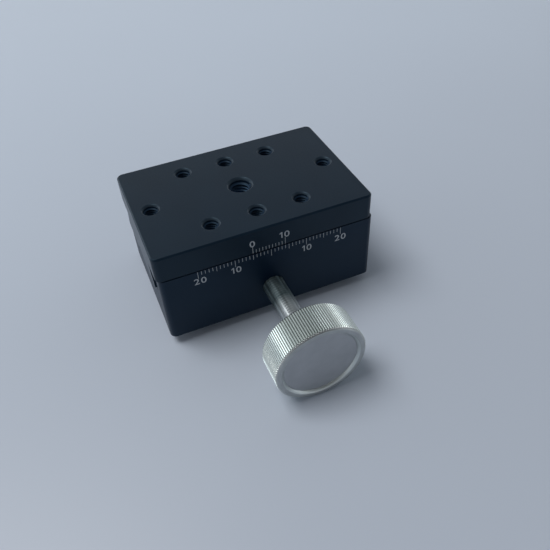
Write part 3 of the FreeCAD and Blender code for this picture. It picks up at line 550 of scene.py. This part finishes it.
KNURL_COUNT = 120
KNURL_DEPTH = 0.26
KNURL_TURN = FULL_TURN / KNURL_COUNT
KNOB_CREASE = 30

# Faces this near the front, or this near the axis, have the rim's finish
RIM_DEPTH, RIM_REACH = 0.49, 11.4


def knob_profile():
    """Closed loop of (height from the back, radius), front at 9."""
    back_edge = [
        (0.0, 11.6), (0.14, 11.74), (0.22, 11.82), (0.31, 11.91), (0.4, KNOB_RADIUS), (0.5, KNOB_RADIUS)]
    front_edge = [
        (8.4, KNOB_RADIUS), (8.5, KNOB_RADIUS), (8.58, 11.92), (8.67, 11.83), (8.76, 11.74),
        (8.92, 11.57), (8.98, 11.5), (9.0, 11.42)]
    recess = [(9.0, 10.5), (8.98, 10.44), (8.4, 9.84), (8.33, 9.8), (7.3, 9.8), (7.3, 3.0)]
    screw_seat = [(5.2, 3.0), (5.2, 1.6), (4.0, 1.6), (4.0, 3.02), (0.0, 3.02)]
    return back_edge + front_edge + recess + screw_seat


def knurl_columns():
    """Share of the pitch and the radius left there: narrow flat crests between V grooves."""
    shape = ((0, 0), (0.2, 0.04), (0.46, 0.96), (0.54, 0.96), (0.8, 0.04))
    return [(share, KNOB_RADIUS - KNURL_DEPTH * cut) for share, cut in shape]


def knob_finish_at(centre):
    """0 on the knurled outside, 1 on the end faces, the recess and the bore."""
    out = math.hypot(centre.x, centre.z - SHAFT_HEIGHT)
    return int(centre.y < KNOB_FRONT + RIM_DEPTH or out < RIM_REACH)


one_flute = pitch_wedge("knurl pitch", knob_profile(), KNURL_TURN, knurl_columns())
knob = grown("knob_knurled", one_flute, TURNED_PITCHES, {
    "Count": KNURL_COUNT, "Turn": KNURL_TURN, "Weld": SAME_SEAM * MM, "Material": KNOB_ALUMINIUM,
})
settle(knob, "drive", at(y=KNOB_BACK, z=SHAFT_HEIGHT) @ FACING_FRONT,
       stands_for=("knob",), crease=KNOB_CREASE)
finish_faces(knob.data, [KNOB_ALUMINIUM, RIM_ALUMINIUM_PAINTED_SHADING], knob_finish_at)


# Threads in the tapped holes of the table

# Steps in a turn, number of turns, and how many pitches below the mouth they start
THREAD_STEPS = 24
THREAD_TURNS = 6
THREAD_LEAD = 0.2

# Radius at a thread's foot, just inside the wall of its hole, and its pitch
CENTRE_THREAD = (2.99, 1.0)
SMALL_THREAD = (1.995, 0.7)

# Shares of the pitch: the ridge's height, and half its breadth at the foot and at the crest
RIDGE_HEIGHT, RIDGE_FOOT, RIDGE_CREST = 0.54, 0.44, 0.07


def thread(name, radius, pitch):
    """Ridges of an internal thread, hanging down from z = 0 inside a hole."""
    inner = radius - RIDGE_HEIGHT * pitch
    foot, crest = RIDGE_FOOT * pitch, RIDGE_CREST * pitch
    ridge = [(-foot, radius), (-crest, inner), (crest, inner), (foot, radius)]
    turn = FULL_TURN / THREAD_STEPS
    rise = pitch / THREAD_STEPS
    piece = grown(name, pitch_wedge(name, ridge, turn, rise=rise), TURNED_PITCHES, {
        "Count": THREAD_TURNS * THREAD_STEPS, "Turn": turn, "Step": (0, 0, rise * MM),
        "Weld": SAME_SEAM * MM, "Material": THREAD_ANODISED_PAINTED_LIGHT,
    })
    piece.data.transform(at(z=-pitch * (THREAD_TURNS + THREAD_LEAD)))
    return piece


centre_mouth, *small_mouths = [(x, y, TABLE_TOP - sink) for x, y, radius, sink in TAPPED_HOLES]
centre_thread = thread("centre_hole_thread", *CENTRE_THREAD)
settle(centre_thread, "table", at(x=REST) @ at(*centre_mouth))

small_thread = thread("small_thread", *SMALL_THREAD)
mouth_points = bpy.data.meshes.new("hole mouths")
mouth_points.from_pydata([Vector(mouth) * MM for mouth in small_mouths], [], [])
small_threads = grown("table_hole_threads", mouth_points, THREADS_IN_HOLES,
                      {"Thread": small_thread, "Material": THREAD_ANODISED_PAINTED_LIGHT})
bpy.data.objects.remove(small_thread)
settle(small_threads, "table", at(x=REST))


# Scale and its numbers on the front faces

FRONT = -HALF_WIDTH

# How far the marks stand proud, their width and their gap to the split between base and table
MARK_PROUD = 0.012
MARK_WIDTH = 0.13
MARK_GAP = 0.1
SCALE_REACH, VERNIER_REACH = 20, 4.5

# Figures: size, stretch along x, share of the usual spacing, thickening, and where a ten's two figures stand
NUMBER_SIZE = 2.75
NUMBER_BREADTH = 1.16
NUMBER_SPACING = 1.16
NUMBER_WEIGHT = 0.022
ONE_LEFT, NOUGHT_RIGHT = 0.68, 0.72


def graduations(name, body, count, pitch, lengths, place):
    """A scale's bars; lengths are the short, fifth and tenth bar's."""
    short, fifth, tenth = (length * MM for length in lengths)
    bars = grown(name, bpy.data.meshes.new(name), GRADUATIONS, {
        "Count": count, "Pitch": pitch * MM, "Short": short, "Fifth": fifth, "Tenth": tenth,
        "Width": MARK_WIDTH * MM, "Depth": 2 * MARK_PROUD * MM, "Material": MARK_FILL,
    })
    settle(bars, body, place)


def figure_one(x, foot):
    """A one with its flag, the middle of its stem at x, raised from the front face."""
    outline = [
        (-0.16, 0), (0.16, 0), (0.16, 1.92), (-0.12, 1.92), (-0.66, 1.5), (-0.53, 1.3), (-0.16, 1.54)]
    one = bmesh.new()
    corners = [Vector((x + across, FRONT + MARK_PROUD, foot + up)) * MM for across, up in outline]
    face = one.faces.new([one.verts.new(corner) for corner in corners])
    raised = bmesh.ops.extrude_face_region(one, geom=[face])
    moved = [part for part in raised["geom"] if isinstance(part, bmesh.types.BMVert)]
    bmesh.ops.translate(one, verts=moved, vec=(0, -2 * MARK_PROUD * MM, 0))
    return new_mesh("one", one)


def raised_text(text, x, foot):
    """Text in plain figures, its middle at x, raised from the front face."""
    letters = bpy.data.curves.new(text, "FONT")
    letters.body = text
    letters.align_x = "CENTER"
    letters.size = NUMBER_SIZE * MM
    letters.space_character = NUMBER_SPACING
    letters.offset = NUMBER_WEIGHT * MM
    letters.extrude = MARK_PROUD * MM
    letters.resolution_u = 6
    holder = new_object(text, letters)
    mesh = as_mesh(holder)
    mesh.transform(at(x, FRONT, foot) @ FACING_FRONT @ Matrix.Diagonal((NUMBER_BREADTH, 1, 1, 1)))
    bpy.data.objects.remove(holder)
    return mesh


def numbers(name, body, words):
    """Numbers on the front face; each word is its text, x and the height of its foot."""
    together = bmesh.new()
    for text, x, foot in words:
        if text == "10":
            together.from_mesh(figure_one(x - ONE_LEFT, foot))
            text, x = "0", x + NOUGHT_RIGHT
        together.from_mesh(raised_text(text, x, foot))
    mesh = new_mesh(name, together)
    mesh.materials.append(MARK_FILL)
    settle(new_object(name, mesh), body)


graduations("main_scale", "base", count=41, pitch=1.0, lengths=(1.15, 1.6, 2.15),
            place=at(-SCALE_REACH, FRONT, SPLIT_LOW - MARK_GAP) @ FACING_FRONT)
graduations("vernier_scale", "table", count=11, pitch=0.9, lengths=(1.15, 1.15, 2.2),
            place=at(VERNIER_REACH + REST, FRONT, SPLIT_HIGH + MARK_GAP) @ FACING_FRONT @ UPSIDE_DOWN)
numbers("main_scale_numbers", "base",
        [("20", -19.65, 16.9), ("10", -10, 16.7), ("10", 10, 16.7), ("20", 20, 16.7)])
numbers("vernier_numbers", "table",
        [("0", REST - VERNIER_REACH, 23.6), ("10", REST + 4.3, 23.6)])


# Floor

FLOOR_REACH = 2600
SLOPE_START, SLOPE_END = -260, 420

# Clouds per metre, and where along y, in metres, the floor's painted light starts and ends to grow paler
FLOOR_GRAINS = 3.5
FLOOR_LIGHT_START, FLOOR_LIGHT_FULL = -0.12, 0.17


def floor_height(y):
    """The stage leans on its knob: the floor meets the knob's rim and the base's rear edge."""
    knob_low = SHAFT_HEIGHT - KNOB_RADIUS
    slope = -knob_low / (HALF_WIDTH - KNOB_FRONT)
    return (min(max(y, SLOPE_START), SLOPE_END) - HALF_WIDTH) * slope


def make_floor():
    """Floor that slopes under the stage and is level well before and behind it, with painted light that makes
    it paler towards the back.
    """
    floor = bmesh.new()
    rows = []
    for y in (-FLOOR_REACH, SLOPE_START, SLOPE_END, FLOOR_REACH):
        ends = [Vector((x, y, floor_height(y))) * MM for x in (-FLOOR_REACH, FLOOR_REACH)]
        rows.append([floor.verts.new(end) for end in ends])
    for near, far in zip(rows, rows[1:]):
        floor.faces.new((near[0], near[1], far[1], far[0]))
    mesh = new_mesh("floor", floor)
    material, tree, sockets, place = new_finish("pale floor", {"Roughness": 0.38, "Specular IOR Level": 0.4})
    cloud = grain(tree, place, FLOOR_GRAINS)
    # Painted light: the floor's colour grows paler towards the back, as if lit more there
    behind = ramp(tree, along(tree, place, "Y"), FLOOR_LIGHT_START, FLOOR_LIGHT_FULL,
                  spread(tree, cloud, 0, 0.2), spread(tree, cloud, 0.8, 1), "SMOOTHSTEP")
    tone = two_tone(tree, behind, (0.52, 0.568, 0.655), (0.66, 0.738, 0.85))
    tree.links.new(tone, sockets["Base Color"])
    mesh.materials.append(material)
    return new_object("floor", mesh)


make_floor()


# Light: a room that is brightest round its walls, and one soft lamp

CAMERA_SIDE = (-0.25, -0.67, 0.69)
WALLS_UP = (0.14, 0, 1)

# Strengths, colour, and how far up or toward the camera's side each change starts and ends
ROOM_WALLS, ROOM_CEILING, ROOM_DIMMED = 1.75, 0.36, 0.24
ROOM_COLOUR = (0.88, 0.94, 1.0, 1)
WALLS_END, CEILING_START = 0.05, 0.48
DIMMED_FULLY = 0.9


def toward(tree, direction, side):
    """How far a direction points to a side, as their product."""
    product = add(tree, "ShaderNodeVectorMath", {0: direction, 1: side}, operation="DOT_PRODUCT")
    return product.outputs["Value"]


def soft_room():
    """Bright low down and round the horizon, dark overhead, and dimmed on the camera's side.

    The walls are a little lower on the right, as the photo's reflections in the knob ask.
    """
    world = bpy.data.worlds.new("studio")
    world.use_nodes = True
    tree = world.node_tree
    direction = add(tree, "ShaderNodeTexCoord").outputs["Generated"]
    walls = ramp(tree, toward(tree, direction, WALLS_UP), WALLS_END, CEILING_START,
                 ROOM_WALLS, ROOM_CEILING, "SMOOTHSTEP")
    dimmed = ramp(tree, toward(tree, direction, CAMERA_SIDE), 0.0, DIMMED_FULLY,
                  1.0, ROOM_DIMMED, "SMOOTHSTEP")
    strength = add(tree, "ShaderNodeMath", {0: walls, 1: dimmed}, operation="MULTIPLY")
    background = tree.nodes["Background"]
    background.inputs["Color"].default_value = ROOM_COLOUR
    tree.links.new(strength.outputs[0], background.inputs["Strength"])
    bpy.context.scene.world = world


def soft_light(name, where, size, watts):
    """Square lamp, its side in metres, that looks at the origin."""
    lamp = bpy.data.lights.new(name, "AREA")
    lamp.shape = "SQUARE"
    lamp.size = size
    lamp.energy = watts
    holder = new_object(name, lamp)
    holder.location = where
    holder.rotation_mode = "QUATERNION"
    holder.rotation_quaternion = (-Vector(where)).to_track_quat("-Z", "Y")


soft_room()
soft_light("key", where=(-0.7, 0.3, 1.75), size=0.95, watts=18.5)


# Camera, fitted to the photo's corners, marks and holes

PHOTO_SIDE = 550
FOCAL_PIXELS = 592.086
SENSOR = 36
CAMERA_PLACE = (-39.398, -127.582, 122.08)
CAMERA_RIGHT = (0.92013, -0.38893, -0.04585)
CAMERA_UP = (0.30088, 0.62712, 0.71846)
CAMERA_BACK = (-0.25067, -0.67487, 0.69405)

camera = new_object("camera", bpy.data.cameras.new("camera"))
camera.data.sensor_width = SENSOR
camera.data.lens = FOCAL_PIXELS / PHOTO_SIDE * SENSOR
camera.data.clip_start = 0.01
camera.data.clip_end = 20
turned_to = Matrix((CAMERA_RIGHT, CAMERA_UP, CAMERA_BACK)).transposed().to_4x4()
camera.matrix_world = at(*CAMERA_PLACE) @ turned_to
bpy.context.scene.camera = camera
bpy.context.scene.view_settings.view_transform = "Standard"
